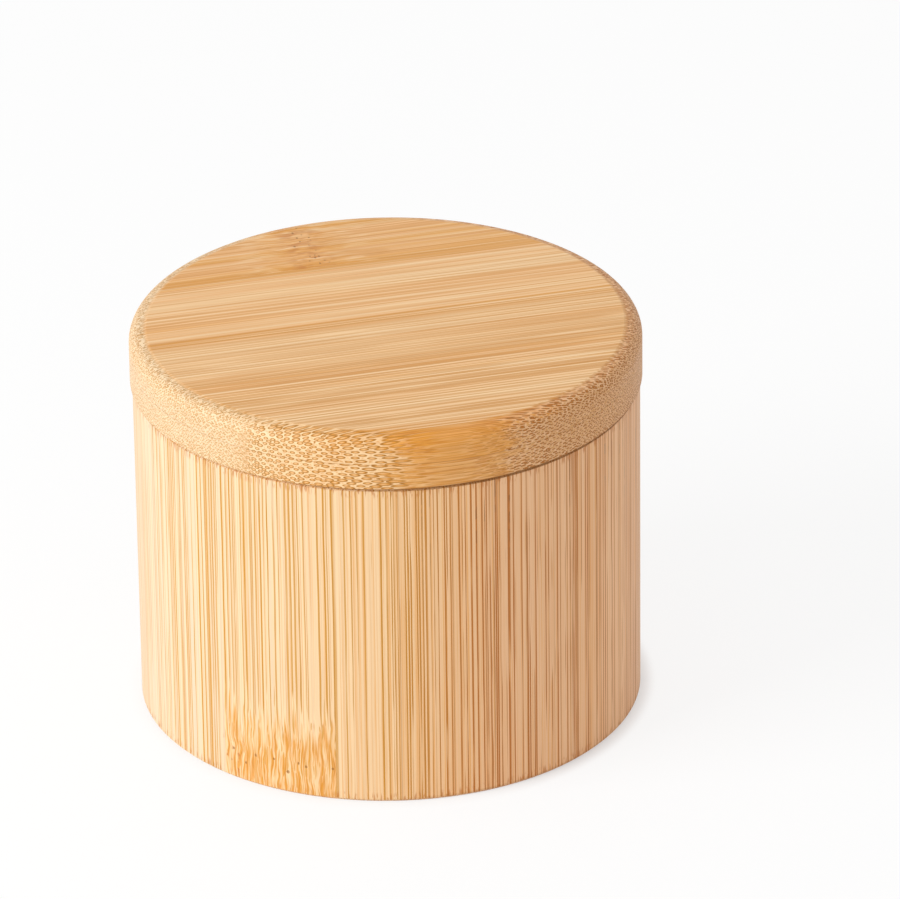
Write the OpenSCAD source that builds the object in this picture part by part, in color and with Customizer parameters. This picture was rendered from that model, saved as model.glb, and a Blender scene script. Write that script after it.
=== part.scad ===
// Round bamboo salt box. Its flush lid swings aside on an upright steel pin.
// Sizes are in millimetres and angles in degrees. +Z is up and -Y is the front.
// The origin is at the centre of the foot.
//
// The body is turned from a block of upright bamboo plies glued face to face.
// The lid is turned from two thinner boards, each of flat strips glued edge to edge.
// Every ply and every strip is a solid of its own, cut from the shared turned shape.

/* [Body] */
// Diameter of the body
body_d = 88.9; // [80:0.1:100]
// Height of the body, from the foot to the rim
body_h = 60.85; // [50:0.05:80]
// Thickness of the floor under the well
floor_t = 8.85; // [5:0.05:14]
// Thickness of the wall around the well
wall_t = 11.45; // [9.5:0.05:15]
// Radius where the well's wall runs into its floor
well_fillet = 3; // [1:0.25:8]
// Chamfer around the mouth of the well
mouth_break = 0.8; // [0.2:0.1:1.2]
// Chamfer on the outer edge of the rim
rim_break = 0.25; // [0.1:0.05:0.8]
// Chamfer on the outer edge of the foot
foot_break = 0.5; // [0.2:0.05:2]

/* [Lid] */
// How far the lid stands out past the body, all round
lid_over = 0.4; // [0.1:0.05:1.5]
// Thickness of the lid, both boards together
lid_t = 10; // [8.5:0.1:14]
// Thickness of the lid's lower board
under_board_t = 4.8; // [4:0.1:6]
// Radius of the rounded top edge
lid_round = 2.5; // [1:0.25:3.5]
// Width of the sloping band between the flat top and the rounded edge
lid_slope_w = 1.2; // [0.4:0.1:3]
// Angle at which that band falls away from the flat top
lid_slope_angle = 13; // [5:1:30]
// Chamfer on the lower edge
lid_break = 0.25; // [0.1:0.05:0.8]

/* [Bamboo] */
// Number of upright plies across the body
plies = 17; // [9:2:21]
// Direction in which the body's plies are stacked, turned from +X
ply_angle = -116; // [-180:1:180]
// Direction of the lid's grain, turned from +X
grain_angle = 14.5; // [-45:0.5:45]
// Number of whole strips in the lid's upper board
top_count = 4; // [3:1:5]
// Width left of the strip at the upper board's front edge
top_front_w = 6.45; // [5:0.05:12]
// Width left of the strip at the upper board's back edge
top_back_w = 2.85; // [2:0.05:12]
// Number of whole strips in the lid's lower board
under_count = 3; // [2:1:4]
// Width left of the strip at the lower board's front edge
under_front_w = 14.25; // [12:0.05:18]
// Width left of the strip at the lower board's back edge
under_back_w = 15.15; // [12:0.05:18]

/* [Pivot] */
// Diameter of the pin that the lid turns on
pin_d = 4; // [3:0.1:5]
// How far the pin is sunk into the rim
pin_sunk = 16; // [8:0.5:30]
// Diameter of the pin's head
head_d = 8; // [6:0.1:9]
// Thickness of the pin's head
head_t = 1.5; // [1:0.1:2]
// Chamfer on the pin's lower end
tip_break = 0.5; // [0.1:0.05:1]
// Chamfer on the upper edge of the pin's head
head_break = 0.2; // [0.05:0.05:0.5]
// Outer diameter of the washer between rim and lid
washer_d = 9; // [7:0.1:9.6]
// Thickness of the washer, which is the seam between rim and lid
washer_t = 0.25; // [0.2:0.05:1]

/* [Magnets] */
// Diameter of the two disc magnets
magnet_d = 6; // [4:0.5:7]
// Thickness of each magnet
magnet_t = 2.5; // [1.5:0.1:3]
// Chamfer on the magnets' edges
magnet_break = 0.2; // [0.05:0.05:0.4]
// How far each magnet lies below the face that it is set in
magnet_set = 0.1; // [0.05:0.05:0.4]

/* [Fits] */
// Radial running clearance between the pin and the lid
pin_play = 0.05; // [0.02:0.01:0.1]
// Clearance around, over and under the pin's head
head_play = 0.15; // [0.1:0.05:0.4]
// Radial gap between the pin and the washer
washer_play = 0.1; // [0.05:0.05:0.4]
// Radial glue gap around the sunk pin and the magnets
glue_gap = 0.02; // [0.01:0.01:0.1]

/* [Hidden] */
$fn = 180;

body_r = body_d / 2;
well_r = body_r - wall_t;
lid_r = body_r + lid_over;
lid_z = body_h + washer_t;
top_board_z = lid_z + under_board_t;
top_board_t = lid_t - under_board_t;
quarter_turn = 90;
across_angle = grain_angle + quarter_turn; // across the lid's grain, towards the back
cut = 1;                       // how far a cutting shape runs past the face that it cuts
reach = 2 * lid_r;             // longer than any ply or strip

// The pin stands in the middle of the rim's width at the back, and the magnets at the front.
rim_middle_r = body_r - wall_t / 2;
pin_at = [0, rim_middle_r, 0];
magnet_at = [0, -rim_middle_r, 0];
head_seat_t = head_t + 2 * head_play;
head_z = top_board_z - head_play - head_t;

// Glue lines of the body's block. The first ply is at the back right, the last at the front left.
ply_t = body_d / plies;
ply_edges = [for (i = [0 : plies]) -body_r + i * ply_t];

// Glue lines of a board, from its front edge to its back edge. The whole strips share the
// width that the two edge strips leave.
function board_edges(front_w, back_w, count) =
    let (whole_w = (2 * lid_r - front_w - back_w) / count)
    concat([-lid_r], [for (i = [0 : count]) -lid_r + front_w + i * whole_w], [lid_r]);
top_edges = board_edges(top_front_w, top_back_w, top_count);
under_edges = board_edges(under_front_w, under_back_w, under_count);
top_strips = len(top_edges) - 1;
under_strips = len(under_edges) - 1;

function two_digits(n) = str(n < 10 ? "0" : "", n);
function ply_name(i) = str("body_ply_", two_digits(i + 1));
function top_strip_name(i) = str("lid_top_strip_", i + 1);
function under_strip_name(i) = str("lid_under_strip_", i + 1);

// Neighbouring pieces come from different canes, so their tone differs a little.
bamboo = [0.86, 0.68, 0.46];
tones = [1, 0.95, 1.05, 0.98];
function bamboo_tone(i) = bamboo * tones[i % len(tones)];
steel = [0.72, 0.72, 0.73];
nickel = [0.8, 0.79, 0.76];

// ---- Turned shapes ----

// Half section of a disc whose upper and lower outer edges are chamfered.
module disc_section(r, h, low_break, high_break) {
    polygon([
        [0, 0],
        [r - low_break, 0],
        [r, low_break],
        [r, h - high_break],
        [r - high_break, h],
        [0, h]
    ]);
}

// Half section of the well, measured up from its floor, with its fillet and its chamfered mouth.
module well_section() {
    depth = body_h - floor_t;
    translate([0, well_fillet])
        square([well_r, depth - well_fillet + cut]);
    square([well_r - well_fillet, well_fillet]);
    translate([well_r - well_fillet, well_fillet])
        circle(well_fillet);
    polygon([
        [0, depth - mouth_break],
        [well_r, depth - mouth_break],
        [well_r + mouth_break + cut, depth + cut],
        [0, depth + cut]
    ]);
}

// The whole body as the lathe leaves it, with the holes for the pin and the rim's magnet.
module turned_body() {
    difference() {
        rotate_extrude()
            disc_section(body_r, body_h, foot_break, rim_break);
        translate([0, 0, floor_t])
            rotate_extrude()
                intersection() {
                    well_section();
                    square([body_r, body_h]);
                }
        translate(pin_at + [0, 0, body_h - pin_sunk])
            cylinder(d = pin_d + 2 * glue_gap, h = pin_sunk + cut);
        translate(magnet_at + [0, 0, body_h])
            magnet_pocket(-1);
    }
}

// Half section of the lid's upper board. Its flat top ends at a crisp line, from which a band
// slopes down and runs smoothly into the rounded edge.
module top_board_section() {
    slope_end = [
        lid_r - lid_round * (1 - sin(lid_slope_angle)),
        top_board_t - lid_slope_w * tan(lid_slope_angle)
    ];
    round_z = slope_end[1] - lid_round * cos(lid_slope_angle);
    polygon([
        [0, 0],
        [slope_end[0], 0],
        slope_end,
        [slope_end[0] - lid_slope_w, top_board_t],
        [0, top_board_t]
    ]);
    square([lid_r, round_z]);
    translate([lid_r - lid_round, round_z])
        circle(lid_round);
}

// The upper board hides the pin's head, so nothing is cut into it.
module turned_top_board() {
    translate([0, 0, top_board_z])
        rotate_extrude()
            intersection() {
                top_board_section();
                square([lid_r, top_board_t]);
            }
}

// The lower board turns on the pin, traps its head and carries the lid's magnet.
module turned_under_board() {
    difference() {
        translate([0, 0, lid_z])
            rotate_extrude()
                disc_section(lid_r, under_board_t, lid_break, 0);
        translate(pin_at + [0, 0, lid_z - cut])
            cylinder(d = pin_d + 2 * pin_play, h = under_board_t + 2 * cut);
        translate(pin_at + [0, 0, top_board_z - head_seat_t])
            cylinder(d = head_d + 2 * head_play, h = head_seat_t + cut);
        translate(magnet_at + [0, 0, lid_z])
            magnet_pocket(1);
    }
}

// A pocket that goes into the wood from z = 0, upwards (1) or downwards (-1).
module magnet_pocket(way) {
    depth = magnet_t + magnet_set;
    translate([0, 0, way > 0 ? -cut : -depth])
        cylinder(d = magnet_d + 2 * glue_gap, h = depth + cut);
}

// The upright slice number i between neighbouring edges, which lie along the direction turned
// from +X. The first and the last slice run on past the wood, so that they take its whole edge.
module slice(i, edges, angle) {
    low = edges[i] - (i == 0 ? cut : 0);
    high = edges[i + 1] + (i == len(edges) - 2 ? cut : 0);
    rotate([0, 0, angle])
        translate([low, -reach, -cut])
            cube([high - low, 2 * reach, lid_z + lid_t + 2 * cut]);
}

// A disc magnet that stands on z = 0.
module magnet() {
    rotate_extrude()
        disc_section(magnet_d / 2, magnet_t, magnet_break, magnet_break);
}

// ---- Pieces ----

// One ply of the body's block, running its full height.
module body_ply(i) {
    color(bamboo_tone(i))
        intersection() {
            turned_body();
            slice(i, ply_edges, ply_angle);
        }
}

// One strip of the lid's lower board.
module under_strip(i) {
    color(bamboo_tone(i + 1))
        intersection() {
            turned_under_board();
            slice(i, under_edges, across_angle);
        }
}

// One strip of the lid's upper board.
module top_strip(i) {
    color(bamboo_tone(i))
        intersection() {
            turned_top_board();
            slice(i, top_edges, across_angle);
        }
}

// The pin is glued into the rim. Its head is held between the lid's two boards.
module pivot_pin() {
    shank_h = head_z - body_h + pin_sunk;
    color(steel)
        translate(pin_at)
            rotate_extrude() {
                translate([0, body_h - pin_sunk])
                    disc_section(pin_d / 2, shank_h, tip_break, 0);
                translate([0, head_z])
                    disc_section(head_d / 2, head_t, 0, head_break);
            }
}

// The washer lies on the rim around the pin and carries the lid.
module pivot_washer() {
    color(steel)
        translate(pin_at + [0, 0, body_h])
            difference() {
                cylinder(d = washer_d, h = washer_t);
                translate([0, 0, -cut])
                    cylinder(d = pin_d + 2 * washer_play, h = washer_t + 2 * cut);
            }
}

// The magnet in the rim and the one in the lid face each other across the seam.
module rim_magnet() {
    color(nickel)
        translate(magnet_at + [0, 0, body_h - magnet_set - magnet_t])
            magnet();
}

module lid_magnet() {
    color(nickel)
        translate(magnet_at + [0, 0, lid_z + magnet_set])
            magnet();
}

for (i = [0 : plies - 1])
    body_ply(i);
for (i = [0 : under_strips - 1])
    under_strip(i);
for (i = [0 : top_strips - 1])
    top_strip(i);
pivot_pin();
pivot_washer();
rim_magnet();
lid_magnet();
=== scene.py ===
# %% [markdown]
# # A round bamboo salt box
#
# The box is turned from laminated bamboo. Its body is a block of upright plies, glued face to face,
# and its lid is two thin boards of flat strips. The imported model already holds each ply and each
# strip as a solid of its own, so their shapes stay as they are. What is left to make here is what
# the wood shows: fibre bundles, glue lines, culm knuckles, and the gloss of a fine sanded surface.
# Lengths in the finishes are in millimetres, and lengths in the scene are in metres.

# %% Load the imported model
from math import cos, radians, sin

import bpy
from mathutils import Euler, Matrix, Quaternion, Vector

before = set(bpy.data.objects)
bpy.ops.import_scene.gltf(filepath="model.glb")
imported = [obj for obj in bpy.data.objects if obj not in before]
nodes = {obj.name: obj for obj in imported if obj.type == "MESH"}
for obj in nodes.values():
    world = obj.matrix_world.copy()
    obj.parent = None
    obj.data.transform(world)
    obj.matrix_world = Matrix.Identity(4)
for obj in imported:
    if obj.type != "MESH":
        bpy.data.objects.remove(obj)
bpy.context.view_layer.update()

MM = 0.001
print("pieces in the packed model:", len(nodes))

# %% [markdown]
# ## The camera
#
# The photograph looks down on the lid at about 27 degrees through a long lens, so the upright sides
# stay nearly parallel. A camera could be framed by eye, but a pinhole camera was fitted to the
# box's outline and seam instead, and its numbers are used here: a distance, a height angle, the
# point that it is aimed at, and a slight roll.

# %% Camera
sensor_width = 36
camera_height_angle = 27.39
camera_distance = 1419 * MM
camera_pivot = Vector((0, 0, 35 * MM))
aim_right, aim_up = 11.04 * MM, 9.67 * MM
camera_roll = -0.731
focal_pixels, image_width = 8038.4, 900

tilt = radians(camera_height_angle)
back = Vector((0, -cos(tilt), sin(tilt)))
up = Vector((0, sin(tilt), cos(tilt)))
camera_data = bpy.data.cameras.new("camera")
camera_data.sensor_width = sensor_width
camera_data.lens = focal_pixels / image_width * sensor_width
camera = bpy.data.objects.new("camera", camera_data)
bpy.context.scene.collection.objects.link(camera)
camera.location = camera_pivot + back * camera_distance
aim = camera_pivot + Vector((aim_right, 0, 0)) + up * aim_up
camera.rotation_mode = "QUATERNION"
camera.rotation_quaternion = (aim - camera.location).to_track_quat("-Z", "Y") @ Quaternion(
    (0, 0, 1), radians(camera_roll))
bpy.context.scene.camera = camera
print("lens in mm:", round(camera_data.lens, 1), "aim in mm:", [round(v / MM, 1) for v in aim])

# %% [markdown]
# ## Shader maths as Python
#
# A finish is easier to read as a formula than as a tangle of nodes. So one small class wraps the
# output of a node. Python's operators on it add Math nodes, and one method adds every other kind
# of node: its settings come first, because they change which sockets it has.

# %% Wires
class Wire:
    """The output of a shader node. Operators on it add Math nodes."""

    def __init__(self, tree, socket=None):
        self.tree, self.socket = tree, socket

    def node(self, kind, settings=None, sockets=None, out=None):
        """Add a node, set it up, fill its sockets, and return one of its outputs."""
        node = self.tree.nodes.new("ShaderNode" + kind)
        for name, value in (settings or {}).items():
            setattr(node, name, value)
        inputs = {s.identifier: s for s in node.inputs}
        for name, value in (sockets or {}).items():
            if isinstance(value, Wire):
                self.tree.links.new(value.socket, inputs[name])
            else:
                inputs[name].default_value = value
        return self.output(node, out)

    def output(self, node, out):
        """A node's output by its name, or else its first one."""
        shown = [s for s in node.outputs if s.enabled]
        named = [s for s in shown if s.identifier == out]
        return Wire(self.tree, (named + shown)[0]) if shown else None

    def other(self, out):
        """Another output of the same node."""
        return self.output(self.socket.node, out)

    def math(self, operation, *values):
        sockets = dict(zip(("Value", "Value_001", "Value_002"), values))
        return self.node("Math", {"operation": operation}, sockets)

    def __add__(self, x): return self.math("ADD", self, x)
    def __radd__(self, x): return self.math("ADD", x, self)
    def __sub__(self, x): return self.math("SUBTRACT", self, x)
    def __rsub__(self, x): return self.math("SUBTRACT", x, self)
    def __mul__(self, x): return self.math("MULTIPLY", self, x)
    def __rmul__(self, x): return self.math("MULTIPLY", x, self)
    def __truediv__(self, x): return self.math("DIVIDE", self, x)
    def __rtruediv__(self, x): return self.math("DIVIDE", x, self)
    def __pow__(self, x): return self.math("POWER", self, x)
    def __abs__(self): return self.math("ABSOLUTE", self)
    def __neg__(self): return self.math("MULTIPLY", self, -1.0)

    def least(self, x): return self.math("MINIMUM", self, x)
    def most(self, x): return self.math("MAXIMUM", self, x)

    def ease(self, low, high):
        """0 at low and 1 at high, with a soft start and end. low may be the larger one."""
        return self.node("MapRange", {"interpolation_type": "SMOOTHSTEP"},
                         {"Value": self, "From Min": low, "From Max": high})

    def xyz(self):
        """The three parts of a vector or colour."""
        part = self.node("SeparateXYZ", None, {"Vector": self}, "X")
        return part, part.other("Y"), part.other("Z")

    def toward(self, colour, amount):
        """This colour mixed toward another."""
        return self.node("Mix", {"data_type": "RGBA"},
                         {"Factor_Float": amount, "A_Color": self, "B_Color": colour},
                         "Result_Color")


def vector(x, y, z):
    """A vector from three numbers or wires, at least one of them a wire."""
    wire = next(v for v in (x, y, z) if isinstance(v, Wire))
    return wire.node("CombineXYZ", None, {"X": x, "Y": y, "Z": z})


def noise(where, detail=1.0, out="Fac"):
    """Soft noise around 0.5, whose lumps are about as large as one unit of where."""
    return where.node("TexNoise", None, {"Vector": where, "Scale": 1.0, "Detail": detail}, out)


def new_material(name):
    """An empty material, and a wire to start its nodes from."""
    material = bpy.data.materials.new(name)
    material.use_nodes = True
    material.node_tree.nodes.clear()
    return material, Wire(material.node_tree)


print("wires ready")

# %% [markdown]
# ## Light and floor
#
# The photograph has one broad soft light low on the left, a white room around it, and a white
# floor that keeps only a faint shadow on the right. A square lamp and an even world give that. The
# world is dimmer for the light that it casts than for the camera and for reflections, which see
# plain white. The floor mixes a lit surface with a glow that only the camera and mirrors see, so
# that it is white in the picture, and yet throws no extra light on the wood. Close round the foot
# there is less glow, most of all on the shaded right, which lets the contact shadow show.

# %% Lamp, world and floor
lamp_turn, lamp_height_angle = -153, 28
lamp_distance, lamp_size, lamp_power = 1.2, 0.7, 9.5
world_strength = 0.66
floor_size, floor_grey = 6.0, 0.88
glow_strength, floor_glow = 1.03, 0.8
foot_radius, contact_reach, contact_depth = 44.5 * MM, 3.0 * MM, 0.45
shaded_from, shaded_to, lit_side_share = 10 * MM, 36 * MM, 0.3

lamp_data = bpy.data.lights.new("left softbox", "AREA")
lamp_data.shape, lamp_data.size, lamp_data.energy = "SQUARE", lamp_size, lamp_power
lamp = bpy.data.objects.new("left softbox", lamp_data)
bpy.context.scene.collection.objects.link(lamp)
turn, height = radians(lamp_turn), radians(lamp_height_angle)
away = Vector((cos(turn) * cos(height), sin(turn) * cos(height), sin(height)))
lamp.location = camera_pivot + away * lamp_distance
lamp.rotation_mode = "QUATERNION"
lamp.rotation_quaternion = (-away).to_track_quat("-Z", "Y")


def seen_directly(wire):
    """1 for rays of the camera, of reflections and of glass, 0 for light that is scattered."""
    path = wire.node("LightPath", None, None, "Is Camera Ray")
    return path.most(path.other("Is Glossy Ray")).most(path.other("Is Transmission Ray"))


world = bpy.data.worlds.new("white room")
bpy.context.scene.world = world
world.use_nodes = True
world.node_tree.nodes.clear()
start = Wire(world.node_tree)
strength = seen_directly(start) * (1 - world_strength) + world_strength
room = start.node("Background", None, {"Color": (1, 1, 1, 1), "Strength": strength})
start.node("OutputWorld", None, {"Surface": room})

bpy.ops.object.select_all(action="DESELECT")
bpy.ops.mesh.primitive_plane_add(size=floor_size, location=(0, 0, 0))
floor = bpy.context.object
floor.name = "floor"
material, start = new_material("white floor")
lit = start.node("BsdfDiffuse", None, {"Color": (floor_grey,) * 3 + (1,)})
glow = start.node("Emission", None, {"Color": (1, 1, 1, 1), "Strength": glow_strength})
x, y, _ = start.node("TexCoord", None, None, "Object").xyz()
beside = ((x * x + y * y) ** 0.5).ease(foot_radius + contact_reach, foot_radius)
beside = beside * (x.ease(shaded_from, shaded_to) * (1 - lit_side_share) + lit_side_share)
glow_share = seen_directly(start) * floor_glow * (1 - beside * contact_depth)
both = start.node("MixShader", None, {"Fac": glow_share, "Shader": lit, "Shader_001": glow})
start.node("OutputMaterial", None, {"Surface": both})
floor.data.materials.append(material)
bpy.context.scene.view_settings.view_transform = "Standard"
print("lamp at", [round(v, 2) for v in lamp.location])

# %% [markdown]
# ## Bamboo
#
# Bamboo has no rings. Its wall is a pale ground with fibre bundles that run along it, and they
# stand in staggered rows that get closer towards the skin. Cut across, a bundle is a small brown
# ring with an orange heart, and cut along, it is a line. An image of one face would have to be
# stretched round the edge of the lid. Here the pattern is solid instead, as in the real strip: it
# is worked out at each point of the piece, so lines on the flat top turn into dashes and then into
# rings round its edge by themselves.
#
# The finish has to meet the pieces' own faces, such as their glue lines. Their places could be typed
# again from the drawing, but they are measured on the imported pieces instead, so that the finish
# still fits a box of another size. The two directions come from the photograph: the one in which
# the body's plies are stacked, and the one in which the lid's fibres run.

# %% Sizes of the pieces
BODY_TURN, LID_TURN = -116, 14.5    # degrees from +X
UP = Vector((0, 0, 1))


def level(degrees):
    """A level direction, turned from +X."""
    return Vector((cos(radians(degrees)), sin(radians(degrees)), 0))


def reach(name, direction):
    """From where to where a piece goes along a direction, in mm."""
    places = [direction.dot(corner.co) / MM for corner in nodes[name].data.vertices]
    return min(places), max(places)


plies, top_strips, under_strips = [
    sorted(name for name in nodes if name.startswith(kind))
    for kind in ("body_ply", "lid_top_strip", "lid_under_strip")]
BODY_R = reach(plies[-1], level(BODY_TURN))[1]
BODY_TOP = reach(plies[-1], UP)[1]
ply_faces = reach(plies[len(plies) // 2], level(BODY_TURN))
PLY_T = ply_faces[1] - ply_faces[0]
LID_Z, MIDDLE_Z = reach(under_strips[0], UP)    # underside, and glue line between the boards
TOP_Z = reach(top_strips[0], UP)[1]
print("ply thickness, heights of rim, lid and top, in mm:",
      [round(v, 2) for v in (PLY_T, BODY_TOP, LID_Z, TOP_Z)])

# %% [markdown]
# Each point is first given the strip's own directions: along the fibres, across the strip, and deep
# from the pith side to the skin side. It also knows how far it is from the box's axis, and how far
# to the left it is on the outside, since the light differs from side to side, and the colours are
# given painted light and shade to follow it.

# %% Directions in a strip
# Between these distances from the axis, the colours that depend on the side come in: painted light and
# shade, and the slits on the right.
SIDES_FROM, SIDES_FULL = 34.0, 43.0    # distances from the box's axis, in mm


class Strip:
    """Where a point is in a strip, in mm. The wood's colour and height are added to it."""

    def __init__(self, start, turn, upright, faces, seed):
        place = start.node("TexCoord", None, None, "Object")
        x, y, _ = place.xyz()
        self.from_axis = (x * x + y * y) ** 0.5 / MM
        outer = self.from_axis.ease(SIDES_FROM, SIDES_FULL)
        self.left = x * (-1 / MM) * outer
        turned = start.node("Mapping", {"vector_type": "POINT"},
                            {"Vector": place, "Rotation": Euler((0, 0, radians(-turn))),
                             "Scale": (1 / MM,) * 3})
        x, y, z = turned.xyz()
        self.along, self.across, self.deep = (z, y, x) if upright else (x, y, z)
        self.start, self.upright, self.seed = start, upright, seed
        self.pith, self.skin = faces
        self.near = None

    def paint(self, colour, amount):
        """Turn the wood toward a colour, by an amount from 0 to 1."""
        self.ground = self.ground.toward(colour, amount)


# %% [markdown]
# Slow noise bends the fibres a little. A knuckle is where the cane had a partition: the fibres
# swirl there, within one strip and with a ragged border, since each bundle turns at its own height.

# %% Bent fibres
def bend_fibres(strip, knuckle):
    """Add the places across and deep that follow the bent fibres, and how near the knuckle is."""
    along, across, deep, seed = strip.along, strip.across, strip.deep, strip.seed
    sway_a, sway_b = (0.7, 0.25) if strip.upright else (1.6, 0.8)
    bend_a, bend_b, _ = noise(
        vector(along / 110, across / 14, deep / 9 + seed * 2.3), 1.0, "Color").xyz()
    tremble = noise(vector(along / 14, across / 1.5, deep / 1.5 + seed), 1.0) - 0.5
    swerve_a = (bend_a - 0.5) * sway_a + tremble * 0.22
    swerve_b = (bend_b - 0.5) * sway_b
    if knuckle:
        middle, half, low, high = knuckle
        inside = across.ease(low - 0.02, low + 0.02) * across.ease(high + 0.02, high - 0.02)
        ragged = noise(vector(along / 16, across * 1.5, deep / 2 + seed), 2.0)
        strip.near = (1.1 - abs(along - middle) / half + (ragged - 0.5) * 1.6).ease(0, 0.85)
        strip.near = strip.near * inside
        swirl_a, swirl_b, _ = noise(
            vector(along / 5.0, across / 3.0, deep / 3 + seed), 1.0, "Color").xyz()
        swerve_a = swerve_a + strip.near * (swirl_a - 0.5) * 1.6
        swerve_b = swerve_b + strip.near * (swirl_b - 0.5) * 1.0
    strip.a, strip.d = across + swerve_a, deep + swerve_b
    way = 1 if strip.skin > strip.pith else -1
    strip.from_pith = ((strip.d - strip.pith) * way).most(0.0)


# %% [markdown]
# The bundles come from a Voronoi pattern on a square grid that is turned by 45 degrees, which
# makes the rows staggered. Its nearest point gives the distance to the middle of a bundle, sideways
# and deep, and so an oval of any proportions. Its colour is random for each bundle and varies the
# size and the darkness.

# %% Bundles
PITH_ROWS, ROWS_GAIN = 0.78, 0.065    # how dense the rows are at the pith side, and more per mm
WIDTH_SQUARED = 1.6    # square of a bundle's width over its depth


def bundles(strip, shift, cane):
    """Masks of the bundles: inside, rim, halo and pore, and two random numbers for each. cane
    holds the steps of the staggered rows, across and deep, and a bundle's radius, in mm, and how
    far the bundles scatter from their rows, from 0 to 1."""
    step_across, step_deep, radius, scatter = cane
    deep = strip.from_pith * (PITH_ROWS + strip.from_pith * ROWS_GAIN)
    u = strip.a / step_across + deep / step_deep + shift
    v = strip.a / step_across - deep / step_deep + shift * 1.7
    cell = u.node("TexVoronoi", {"voronoi_dimensions": "2D", "feature": "F1"},
                  {"Vector": vector(u, v, 0.0), "Scale": 1.0, "Randomness": scatter}, "Distance")
    cu, cv, _ = cell.other("Position").xyz()
    luck, luck_2, luck_3 = cell.other("Color").xyz()
    side = (u - cu + (v - cv)) * (step_across / 2)
    rows_here = PITH_ROWS + strip.from_pith * (2 * ROWS_GAIN)
    rise = (u - cu - (v - cv)) * (step_deep / 2) / rows_here
    size = (0.8 + 0.4 * luck) * radius
    oval = ((side * side) / WIDTH_SQUARED + rise * rise) ** 0.5 / size
    inside = oval.ease(1.15, 0.9)
    rim = oval.ease(0.50, 0.80) * inside
    halo = oval.ease(2.3, 1.3) - inside
    pore = oval.ease(0.45, 0.25)
    return inside, rim, halo, pore, luck_2, luck_3


# %% [markdown]
# The colours are those of pale, oiled bamboo, and they were worked out from how bright the lamp
# makes each side. The ground turns from cream to tan in slow bands, and fine streaks run along it.
# On the outside it has painted light and shade: it is paler on the lit left and redder on the shaded
# right. The body's bundles are gold on the left and rust on the right, which is painted light and
# shade too. The lid's are amber with a brown rim, where its edge cuts them across. On the edge they
# and their rims are painted darker and redder towards the shaded right, as painted shade. Each lies
# in a pale halo of soft tissue.

# %% Colours
LIT_PALE = (0.76, 0.63, 0.45, 1)
LIGHT = (0.96, 0.69, 0.40, 1)
SHADED_PEACH = (0.95, 0.55, 0.31, 1)
CREAM = (0.94, 0.61, 0.31, 1)
TAN = (0.84, 0.45, 0.18, 1)
HONEY = (0.84, 0.42, 0.08, 1)
AMBER = (0.80, 0.33, 0.04, 1)
GOLD = (0.62, 0.28, 0.02, 1)
ORANGE = (0.62, 0.25, 0.03, 1)
RUST = (0.52, 0.16, 0.02, 1)
BARK = (0.42, 0.17, 0.02, 1)
BROWN = (0.32, 0.125, 0.02, 1)
OLIVE = (0.37, 0.18, 0.03, 1)
DARK = (0.11, 0.05, 0.02, 1)

# Painted light and shade on the outside, paler on the lit left and redder on the shaded right: a
# colour, from where to where it comes in, in mm to the left of the middle, and how much of it there
# is.
BODY_LIGHT_AND_SHADE = (
    (LIT_PALE, (-15.0, 40.0), 1.0), (SHADED_PEACH, (-2.0, -25.0), 0.65), (RUST, (-10.0, -30.0), 0.06))
EDGE_LIGHT_AND_SHADE = ((LIT_PALE, (6.0, 36.0), 0.8), (TAN, (8.0, -12.0), 0.85), (BARK, (-5.0, -34.0), 0.36))


def near_planes(wire, planes, half=0.10):
    """How near a place is to one of some planes, such as glue lines. half is half their width."""
    mask = 0.0
    for plane in planes:
        here = abs(wire - plane).ease(half, half * 0.3)
        mask = here.most(mask)
    return mask


def mix(a, b, amount):
    """One number turned into another."""
    return a + (b - a) * amount


def plain_colour(start, colour):
    """A wire that carries one colour."""
    wire = start.node("RGB")
    wire.socket.default_value = colour
    return wire


print("wood colours from", CREAM[:3], "to", DARK[:3])

# %% [markdown]
# The ground of a strip: slow bands, fine streaks, and the strip's own warmth. A lid strip can have
# streaks of its own at chosen places, darker or paler, which is how one board is told from the
# next.

# %% Ground
FLAT_TOP_END, EDGE_FULL = 41.6, 42.6    # distances from the box's axis, in mm


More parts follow.
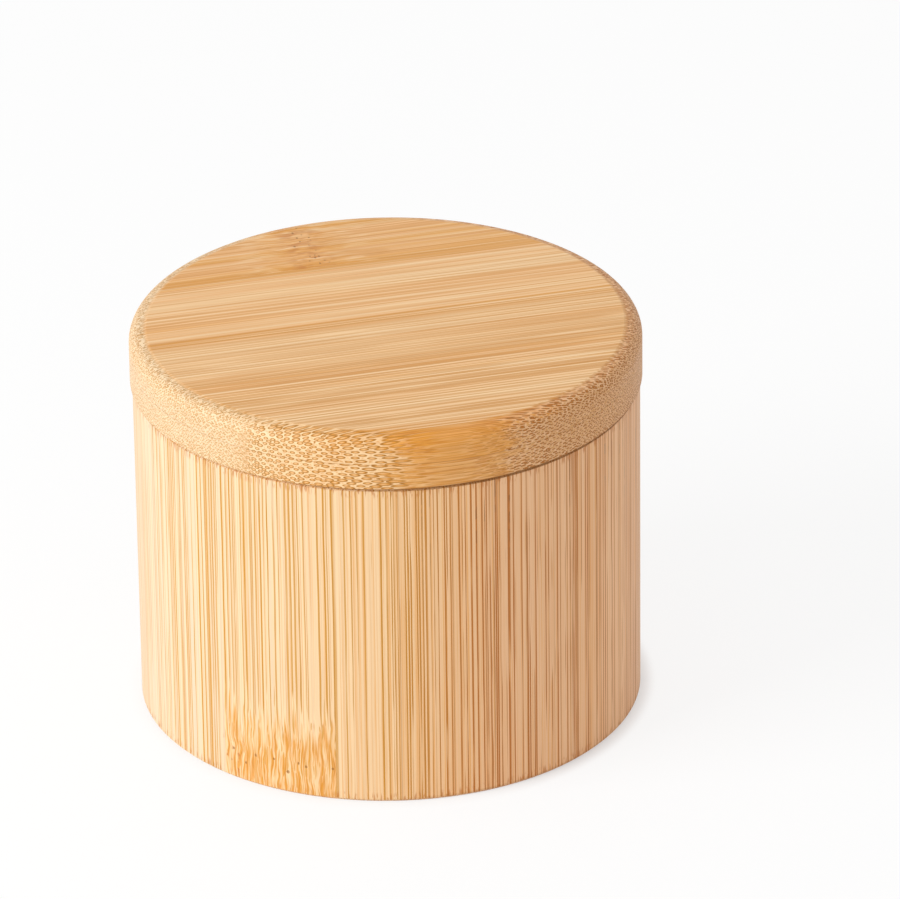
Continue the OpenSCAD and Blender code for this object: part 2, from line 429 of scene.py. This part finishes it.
def paint_ground(strip, warmth, streaks, grain, lines):
    """Colour the wood between the bundles. Its noises are kept for the steps that follow."""
    along, a, d, seed, left = strip.along, strip.a, strip.d, strip.seed, strip.left
    strip.edge = strip.from_axis.ease(FLAT_TOP_END, EDGE_FULL)
    length = 220 if strip.upright else 110
    strip.hair = noise(vector(along / length, a * grain, d * grain + seed * 1.9), 2.0)
    strip.fine = noise(vector(along / 9, a * 5.0, d * 5.0), 2.0)
    strip.band = noise(vector(along / 150, a / 3.0, d / 3.0 + seed * 4.1), 3.0)
    strip.fade = noise(vector(along / 60, a * 0.9, d * 0.9 + seed), 1.0)
    strip.skin_side = (strip.from_pith / PLY_T).ease(0.25, 1.1)
    strip.ground = plain_colour(strip.start, CREAM)
    strip.light = plain_colour(strip.start, LIGHT)
    if strip.upright:
        tan = strip.band.ease(0.38, 0.62) * 0.45 + strip.skin_side * 0.15 + warmth
        strip.paint(TAN, tan.most(0.0).least(1.0))
        # Painted light and shade: the outside is paler on the lit left, and it and its pale streaks
        # are redder on the shaded right.
        for colour, zone, amount in BODY_LIGHT_AND_SHADE:
            strip.paint(colour, left.ease(*zone) * amount)
        strip.light = strip.light.toward(SHADED_PEACH, left.ease(8.0, -16.0) * 0.75)
    else:
        tan = strip.band.ease(0.40, 0.60) * 0.7 + warmth
        for place, half, amount in streaks:
            ragged = strip.a + (strip.fade - 0.5) * half
            tan = tan + abs(ragged - place).ease(half, half * 0.25) * amount
        strip.paint(TAN, tan.most(0.0).least(1.0))
        strip.paint(LIGHT, (-tan).most(0.0).least(0.6))
        strip.paint(HONEY, (tan - 1.0).most(0.0).least(0.6))
        strip.paint(ORANGE, (tan - 1.4).most(0.0).least(0.5))
        # Painted light and shade on the edge: paler on the lit left, and redder and darker on the
        # shaded right, also in the pale streaks.
        for colour, zone, amount in EDGE_LIGHT_AND_SHADE:
            strip.paint(colour, strip.edge * left.ease(*zone) * amount)
        strip.light = strip.light.toward(SHADED_PEACH, strip.edge * left.ease(0.0, -22.0) * 0.75)
    strip.paint(AMBER if strip.upright else ORANGE, strip.hair.ease(0.51, 0.61) * 0.55 * lines)
    strip.paint(strip.light, strip.hair.ease(0.48, 0.38) * 0.65 * lines)


# %% [markdown]
# Where the lid's edge runs along the fibres, at its front and back, the saw never cut them across.
# It shows long layers of honey and rust there instead of rings, and its two borders are ragged.

# %% Layers in the lid's edge
LAYERS_AT, LAYERS_END, LAYERS_FULL = 0.5, 12.5, 7.5    # places along the fibres, in mm


def paint_layers(strip):
    """Colour the layers, and keep how much of the wood here is layers."""
    wander = (strip.fade - 0.5) * 12.0
    from_middle = abs(strip.along - LAYERS_AT + wander)
    strip.layered = strip.edge * from_middle.ease(LAYERS_END, LAYERS_FULL)
    layers = noise(vector(strip.along / 60, strip.a * 1.6, strip.d * 3.4), 2.0)
    strip.paint(HONEY, strip.layered * 0.4)
    strip.paint(RUST, strip.layered * layers.ease(0.50, 0.58) * 0.55)
    strip.paint(strip.light, strip.layered * layers.ease(0.46, 0.38) * 0.35)


# %% [markdown]
# The bundles are drawn over the ground. The lid's edge shows large ones only at its front left, and
# a finer pattern takes over elsewhere. The flat top shows less of them, as its lines are faint.

# %% Bundle lines and rings
FINE_ALONG, FINE_ACROSS = (-6.0, 3.0), (-32.0, -29.0)    # where the finer pattern comes in, in mm


def paint_bundles(strip, canes, lines, flat_lines):
    """Draw the bundles, and give them their height and roughness."""
    along, left, edge = strip.along, strip.left, strip.edge
    masks = bundles(strip, strip.seed * 3.17, canes[0])
    if len(canes) == 2:
        finer = bundles(strip, strip.seed * 1.91, canes[1])
        where = along.ease(*FINE_ALONG).most(strip.across.ease(*FINE_ACROSS)) * edge
        masks = [mix(coarse, small, where) for coarse, small in zip(masks, finer)]
    inside, rim, halo, pore, luck, luck_2 = masks
    come_and_go = noise(vector(along / 20, strip.a * 1.2, strip.d * 1.2 + 5.0), 1.0)
    strength = (0.6 + 0.4 * luck) * strip.fade.ease(0.1, 0.42) * come_and_go.ease(0.2, 0.5)
    if strip.upright:
        strength = strength * mix(1.3, 1.1, left.ease(-15.0, 30.0))
        strength = strength * left.ease(47.0, 38.0) * mix(1.0, 0.85, left.ease(-18.0, -36.0))
        # Painted light and shade: the body's bundles turn from gold on the lit left to rust on the
        # shaded right.
        cane_colour = plain_colour(strip.start, GOLD).toward(RUST, left.ease(8.0, -20.0))
    else:
        strength = mix(strength * flat_lines, 0.85 + 0.35 * luck, edge)
        strength = strength * (1.0 - strip.layered * 0.7)
        cane_colour = plain_colour(strip.start, AMBER).toward(ORANGE, 1.0 - edge * 0.7)
        # Painted shade: on the lid's edge the bundles turn rust on the shaded right.
        cane_colour = cane_colour.toward(RUST, edge * left.ease(0.0, -20.0) * 0.9)
    strength = (strength * lines).least(1.0)
    strip.paint(strip.light, halo * strength * 0.6)
    if strip.upright:
        strip.paint(cane_colour, inside * strength * 0.95)
        strip.paint(BARK, rim * strength * 0.25)
    else:
        fill = mix(0.9, mix(1.0, 0.7, left.ease(-10.0, 5.0)) - left.ease(10.0, 30.0) * 0.25, edge)
        strip.paint(cane_colour, inside * strength * fill)
        # Painted light and shade: the rims on the edge are darkest brown on the shaded right and
        # change colour towards the lit left.
        rim_colour = plain_colour(strip.start, BROWN).toward(BARK, left.ease(-25.0, 0.0))
        rim_colour = rim_colour.toward(OLIVE, left.ease(8.0, 28.0))
        strip.paint(rim_colour, rim * strength * mix(0.25, 0.95, edge))
        pale_heart = left.ease(-12.0, 5.0) * left.ease(36.0, 20.0)
        strip.paint(strip.light, pore * strength * pale_heart * edge * 0.45)
    strip.height = (strip.fine - 0.5) * 0.006 + inside * strength * 0.007
    strip.rough = inside * strength
    strip.inside, strip.luck = inside, luck_2


# %% [markdown]
# On the right of the body, near its rim, a few bundles are open: the sander has torn them into
# short dark slits.

# %% Open bundles
SLITS_FROM, SLITS_FULL = 35.0, 60.0    # heights, in mm


def paint_slits(strip):
    dash = noise(vector(strip.along / 3, strip.a / 2, strip.d / 2), 1.0).ease(0.5, 0.56)
    slit = strip.luck.ease(0.72, 0.76) * strip.inside * dash
    slit = slit * strip.along.ease(SLITS_FROM, SLITS_FULL) * strip.left.ease(0.0, -12.0)
    strip.paint(DARK, slit * 0.4)
    strip.height = strip.height - slit * 0.02


# %% [markdown]
# At a knuckle the wood is deeper in colour. Pale tongues run into it from both sides, small flames
# of amber fill its middle, and dark specks mark the partition. On the lid the fibres also go round
# a few eyes, as rings in the grain.

# %% Knuckle
SPECK_HEIGHT = 4.8    # of the row of specks in the body's knuckle, in mm
SCAR_ACROSS, SCAR_HEIGHT = -9.7, 4.5    # of a rust-coloured scar beside them, in mm


def specks(strip, length, width, share):
    """Small dark ovals at random places, as a mask."""
    cell = strip.along.node(
        "TexVoronoi", {"voronoi_dimensions": "2D", "feature": "F1"},
        {"Vector": vector(strip.along / length, strip.a / width, 0.0), "Scale": 1.0}, "Distance")
    chance, size, _ = cell.other("Color").xyz()
    return (cell / (0.6 + 0.4 * size)).ease(0.24, 0.10) * chance.ease(1.0 - share, 1.03 - share)


def paint_knuckle(strip, knuckle):
    """Colour the knuckle: tongues, flames, a darker clump of fibres, and specks."""
    along, a, d, near = strip.along, strip.a, strip.d, strip.near
    middle = knuckle[0]
    depth = 1.0 if strip.upright else 0.6
    core = near.ease(0.3, 0.95)
    outer = near.ease(0.02, 0.3) * near.ease(1.0, 0.5)
    tongue = noise(vector(along / 16, a * 1.9, d / 2 + 9.0), 2.0)
    flame = noise(vector(along / 7, a * 3.0, d / 2 + 4.0), 2.0)
    strip.paint(strip.light, tongue.ease(0.44, 0.62) * outer * 0.85 * depth)
    strip.paint(HONEY, core * (0.35 if strip.upright else 0.12))
    strip.paint(strip.light, flame.ease(0.48, 0.30) * core * 0.8 * depth)
    strip.paint(AMBER, flame.ease(0.46, 0.60) * core * 0.7 * depth)
    strip.paint(ORANGE, flame.ease(0.54, 0.70) * core * 0.8 * depth)
    if strip.upright:
        row = along - SPECK_HEIGHT
        dark = specks(strip, 2.1, 1.5, 0.35) * abs(row).ease(2.6, 1.6) * core
        clump = noise(vector(along / 2.2, a / 0.9, 3.0), 2.0).ease(0.58, 0.68)
        clump = clump * abs(strip.across - SCAR_ACROSS).ease(2.6, 1.2)
        clump = clump * abs(along - SCAR_HEIGHT).ease(4.5, 2.5)
    else:
        row = along - middle - 1.5 + (noise(vector(a / 3.0, 7.0, along / 9), 2.0) - 0.5) * 5.0
        dark = specks(strip, 1.2, 1.8, 0.75) * abs(row).ease(1.9, 0.9) * near.ease(0.1, 0.5)
        clump = noise(vector(along / 3.5, a / 1.6, 3.0), 2.0).ease(0.42, 0.66) * 0.8
        clump = clump * abs(along - middle - 1.0).ease(5.5, 1.5) * near.ease(0.1, 0.5)
    strip.paint(RUST, clump * 0.7)
    strip.paint(BROWN, dark * 0.75)
    strip.height = strip.height - dark * 0.05


def paint_eyes(strip, eyes):
    """Rings in the grain. Each eye has a place along and across, and a size, in mm."""
    for place, side, size in eyes:
        sideways, lengthwise = (strip.a - side) / size, (strip.along - place) / size
        out = (lengthwise * lengthwise * 0.3 + sideways * sideways) ** 0.5
        ring = (out * 6.0 + (strip.fade - 0.5) * 3.0).math("SINE") * out.ease(2.0, 0.7)
        strip.paint(ORANGE, ring.most(0.0) * 0.6)
        strip.paint(strip.light, (-ring).most(0.0) * 0.45)


# %% [markdown]
# The lid's front edge has an amber stain where it runs along the fibres: streaks just under the flat
# top, and one patch. The body's two ends have short ticks, where the saw opened bundles. A thin
# painted shadow line runs along the foot and the seam, and is deeper on the shaded right. Glue lines
# are thin and brown.

# %% Stain, ends and glue
STREAKS_AT, STREAKS_END, STREAKS_FULL = 3.0, 28.0, 17.0    # along the fibres, in mm
OUTSIDE = (43.9, 44.2)    # distances from the box's axis, in mm


def paint_stain(strip, stain):
    """Stain a strip. stain holds the patch's place along the strip, half its length, its foot and
    its top, in mm, and how strong the stain is."""
    along, deep = strip.along, strip.deep
    place, half, foot, top, depth = stain
    patch = abs(along - place + (strip.fade - 0.5) * 12.0).ease(half, half * 0.3)
    patch = patch * deep.ease(foot, foot + 1.5) * deep.ease(top, top - 0.3)
    under_rim = deep.ease(TOP_Z - 1.9, TOP_Z - 0.9) * deep.ease(TOP_Z, TOP_Z - 0.1)
    under_rim = under_rim * abs(along - STREAKS_AT).ease(STREAKS_END, STREAKS_FULL)
    under_rim = under_rim * mix(0.45, 1.0, strip.hair.ease(0.45, 0.53))
    strip.paint(AMBER, strip.layered * 0.65 * depth)
    strip.paint(AMBER, patch.most(under_rim) * strip.band.ease(0.2, 0.45) * 0.9 * depth)
    strip.paint(RUST, strip.hair.ease(0.48, 0.58) * patch.most(under_rim) * 0.5 * depth)


def paint_ends(strip):
    """Painted shadow lines at the foot and along the seam, deeper on the shaded right, and ticks. They
    are on the outside only. The rim's top shows how each ply is denser towards its skin side."""
    along, shaded = strip.along, strip.left.ease(15.0, -20.0)
    outside = strip.from_axis.ease(*OUTSIDE)
    if strip.upright:
        ends = along.ease(BODY_TOP - 1.8, BODY_TOP - 0.6).most(along.ease(2.2, 0.9))
        ticks = noise(vector(along / 2.5, strip.a * 2.6, strip.d * 2.6), 1.0).ease(0.54, 0.62)
        ticks = ticks * ends * outside
        # Painted shadow: a thin dark line at the foot, and one under the rim where the seam is shaded,
        # both deeper on the shaded right.
        foot = along.ease(0.95, 0.65) * mix(0.0, 0.25, shaded)
        rim = along.ease(BODY_TOP - 0.35, BODY_TOP - 0.2) * mix(0.1, 0.65, shaded)
        strip.paint(TAN, along.ease(BODY_TOP - 0.2, BODY_TOP - 0.05) * strip.skin_side * 0.6)
        strip.paint(RUST, ticks * 0.6)
        strip.paint(BROWN, foot.most(rim) * outside)
        strip.height = strip.height - ticks * 0.01
    else:
        # Painted shadow of the seam on the lid's underside, deeper on the shaded right.
        strip.paint(BROWN, strip.deep.ease(LID_Z + 0.35, LID_Z + 0.15)
                    * mix(0.2, 0.75, shaded) * outside)


def paint_glue(strip, glued, seams):
    """Draw the glue lines at a piece's glued faces, and fainter ones at the seams across it."""
    glue = near_planes(strip.deep, glued) * (0.25 if strip.upright else 0.4)
    strip.paint(BROWN, glue.most(near_planes(strip.across, seams) * 0.12))


# %% [markdown]
# A material is all of these, one over another. The surface is sanded fine and thinly oiled, so it
# is nearly matt. The bundles are harder than the ground, and stand up by less than a hundredth of a
# millimetre.

# %% Bamboo material
def bamboo(name, turn, upright, faces, glued, seams, seed, canes, warmth, lines=1.0, grain=3.7,
           streaks=(), knuckle=None, stain=None, eyes=(), flat_lines=0.4):
    """Material of one ply or strip. faces are the places of its pith and skin side, glued those
    of its glued faces, and seams those of the glue lines across it, in mm. warmth goes from pale
    to tan. lines and flat_lines are the strength of the lines, on all of it and on a flat top, and
    grain is how fine the streaks are, per mm."""
    material, start = new_material(name)
    strip = Strip(start, turn, upright, faces, seed)
    bend_fibres(strip, knuckle)
    paint_ground(strip, warmth, streaks, grain, lines)
    if not upright:
        paint_layers(strip)
    if stain:
        paint_stain(strip, stain)
    paint_bundles(strip, canes, lines, flat_lines)
    if upright:
        paint_slits(strip)
    paint_ends(strip)
    if knuckle:
        paint_knuckle(strip, knuckle)
    paint_eyes(strip, eyes)
    paint_glue(strip, glued, seams)
    shade = 1.0 + (strip.fine - 0.5) * 0.12
    colour = start.node("VectorMath", {"operation": "MULTIPLY"},
                        {"Vector": strip.ground, "Vector_001": vector(shade, shade, shade)})
    roughness = 0.46 + 0.08 * strip.rough + 0.08 * (strip.fine - 0.5)
    bump = start.node("Bump", None, {"Strength": 1.0, "Distance": MM, "Height": strip.height})
    shader = start.node("BsdfPrincipled", None, {
        "Base Color": colour, "Roughness": roughness, "Normal": bump, "Specular IOR Level": 0.3})
    start.node("OutputMaterial", None, {"Surface": shader})
    return material


# %% [markdown]
# Every ply and every strip gets its own bamboo, since its glue lines and its seed differ. The plies
# stack along a line that points to the front left, so the last one shows its face there, with a
# knuckle at its foot between two glue lines, and the ones on the right show their edges as narrow
# upright bands. Each ply is itself strips side by side, and their seams are staggered from ply to
# ply, as in brickwork. Every third ply is glued in with its skin side the other way round.

# %% Finish the body
SLIM_CANE = (0.72, 0.82, 0.13, 0.6)    # steps across and deep, radius, scatter
FRONT_SEAMS = (-11.5, 10.2)
BODY_KNUCKLE = (4.5, 13.0, *FRONT_SEAMS)    # place and reach along, and its two sides, in mm
FIRST_SEAM, SEAM_STAGGER = -45, 6.7
ply_warmth = (0.05, -0.08, 0.12, 0.0, 0.08)
strip_sides = reach(top_strips[2], level(LID_TURN + 90))
strip_width = strip_sides[1] - strip_sides[0]


def glued_sides(sides):
    """Those sides of a piece that meet a neighbour, and aren't part of the round outside."""
    return [side for side in sides if abs(side) < BODY_R - 0.1]


def dress(name, material):
    nodes[name].material_slots[0].material = material


for i, name in enumerate(plies):
    sides = reach(name, level(BODY_TURN))
    faces = sides[::-1] if i % 3 == 2 else sides
    at_front = name == plies[-1]
    first_seam = FIRST_SEAM + SEAM_STAGGER * (i * 5 % 3)
    seams = FRONT_SEAMS if at_front else [first_seam + strip_width * k for k in range(5)]
    dress(name, bamboo(
        f"bamboo ply {i + 1:02d}", BODY_TURN, True, faces, glued_sides(sides), seams, i + 1,
        [SLIM_CANE], ply_warmth[i % 5], knuckle=BODY_KNUCKLE if at_front else None))
print("plies dressed:", len(plies))

# %% [markdown]
# The lid's strips lie flat. The top ones were matched: a dark streak at one joint, a dark
# line beside the middle one, two pale bands, and a warmer board at the back, which has the
# knuckle. The front edge has the stain.

# %% Finish the lid's top
COARSE_CANE, MID_CANE = (0.95, 1.20, 0.25, 0.35), (0.82, 1.02, 0.23, 0.3)
SMALL_CANE = (0.56, 0.72, 0.12, 0.6)
LID_KNUCKLE = (-7.0, 12.0, 24.6, 42.0)    # place and reach along, and its two sides, in mm
LID_EYES = ((0.6, 28.6, 1.3), (5.6, 27.8, 1.0), (-1.0, 34.0, 1.2))
TOP_STAIN = (-7.0, 7.0, 66.8, 71.0, 1.0)
LID_LINES, TOP_SEED = 0.95, 31
KNUCKLE_STRIP = 4
top_warmth = (0.0, -0.25, -0.1, 0.1, 0.9, 0.9)
top_grain = (3.2, 3.2, 3.0, 2.0, 2.0, 2.0)
top_flat_lines = (0.75, 0.75, 0.6, 0.25, 0.3, 0.3)
# Each streak has its place across and half its width, in mm, and how much darker it is.
top_streaks = (
    (), ((-20.0, 2.6, 0.6), (-20.9, 0.5, 0.7)),
    ((-17.4, 1.8, 0.6), (-15.9, 0.4, 0.8), (-9.8, 1.4, -0.6), (-4.6, 2.4, -0.7),
     (-5.8, 0.35, 0.8), (0.8, 0.6, 1.4), (0.6, 1.6, 0.3)),
    ((2.4, 0.6, 1.6), (3.0, 1.6, 0.3), (7.4, 0.4, 0.6), (13.0, 0.5, 0.6), (16.0, 3.0, -0.7)),
    ((23.3, 0.8, 1.0), (25.0, 2.6, 0.5)), ())

for i, name in enumerate(top_strips):
    seams = glued_sides(reach(name, level(LID_TURN + 90)))
    canes = [COARSE_CANE if i < 2 else MID_CANE, SMALL_CANE]
    dress(name, bamboo(
        f"bamboo top strip {i + 1}", LID_TURN, False, (MIDDLE_Z, TOP_Z), [MIDDLE_Z], seams,
        TOP_SEED + i, canes, top_warmth[i], LID_LINES, top_grain[i], top_streaks[i],
        knuckle=LID_KNUCKLE if i == KNUCKLE_STRIP else None,
        stain=TOP_STAIN if i == 0 else None,
        eyes=LID_EYES if i == KNUCKLE_STRIP else (),
        flat_lines=top_flat_lines[i]))
print("top strips dressed:", len(top_strips))

# %% [markdown]
# The lower board is glued in with its skin side down. Its front strip carries the foot of the same
# stain and has coarse bundles, like the strip above it. The others have finer ones.

# %% Finish the lid's underside
FINE_CANE = (0.72, 0.90, 0.20, 0.3)
UNDER_STAIN = (-8.0, 6.0, 62.5, 67.0, 0.4)
UNDER_SEED = 51
under_warmth = (0.0, 0.0, 0.05, 0.15, 0.2)

for i, name in enumerate(under_strips):
    seams = glued_sides(reach(name, level(LID_TURN + 90)))
    canes = [FINE_CANE if i else COARSE_CANE, SMALL_CANE]
    dress(name, bamboo(
        f"bamboo under strip {i + 1}", LID_TURN, False, (MIDDLE_Z, LID_Z), [MIDDLE_Z], seams,
        UNDER_SEED + i, canes, under_warmth[i], LID_LINES,
        stain=UNDER_STAIN if i == 0 else None))
print("materials:", len(bpy.data.materials))

# %% [markdown]
# ## Metal
#
# The pin and its washer are turned steel, and the magnets are nickel plated. Only the lid's
# opening shows them. Fine rings from the lathe break up the reflections on the steel, and the
# nickel has a faint orange-peel.

# %% Metal finishes
STEEL, WASHER_STEEL = (0.60, 0.59, 0.58, 1), (0.56, 0.55, 0.54, 1)
NICKEL, TARNISH = (0.50, 0.48, 0.44, 1), (0.30, 0.27, 0.23, 1)


def metal(name, piece, colour, roughness):
    """Metal of a turned piece, with lathe rings round the piece's own upright axis."""
    material, start = new_material(name)
    x_sides, y_sides = reach(piece, level(0)), reach(piece, level(90))
    to_axis = (-sum(x_sides) / 2, -sum(y_sides) / 2, 0)
    place = start.node("TexCoord", None, None, "Object")
    x, y, z = start.node("Mapping", None, {
        "Vector": place, "Location": to_axis, "Scale": (1 / MM,) * 3}).xyz()
    radius = (x * x + y * y) ** 0.5
    rings = noise(vector(radius * 9.0, z * 9.0, 0.0), 2.0)
    spots = noise(vector(x / 1.7, y / 1.7, z / 1.7), 3.0)
    rough = roughness + (rings - 0.5) * 0.12 + (spots - 0.5) * 0.15
    bump = start.node("Bump", None, {"Distance": MM, "Height": rings * 0.004})
    tint = plain_colour(start, colour).toward(TARNISH, spots.ease(0.6, 0.85) * 0.3)
    shader = start.node("BsdfPrincipled", None, {
        "Base Color": tint, "Metallic": 1.0, "Roughness": rough, "Normal": bump})
    start.node("OutputMaterial", None, {"Surface": shader})
    return material


metals = (
    ("pivot_pin", "turned steel", STEEL, 0.28), ("pivot_washer", "washer steel", WASHER_STEEL, 0.34),
    ("rim_magnet", "nickel in the rim", NICKEL, 0.3), ("lid_magnet", "nickel in the lid", NICKEL, 0.3))
for piece, name, colour, roughness in metals:
    dress(piece, metal(name, piece, colour, roughness))
print("pieces with a finish:", sum(bool(piece.active_material) for piece in nodes.values()))
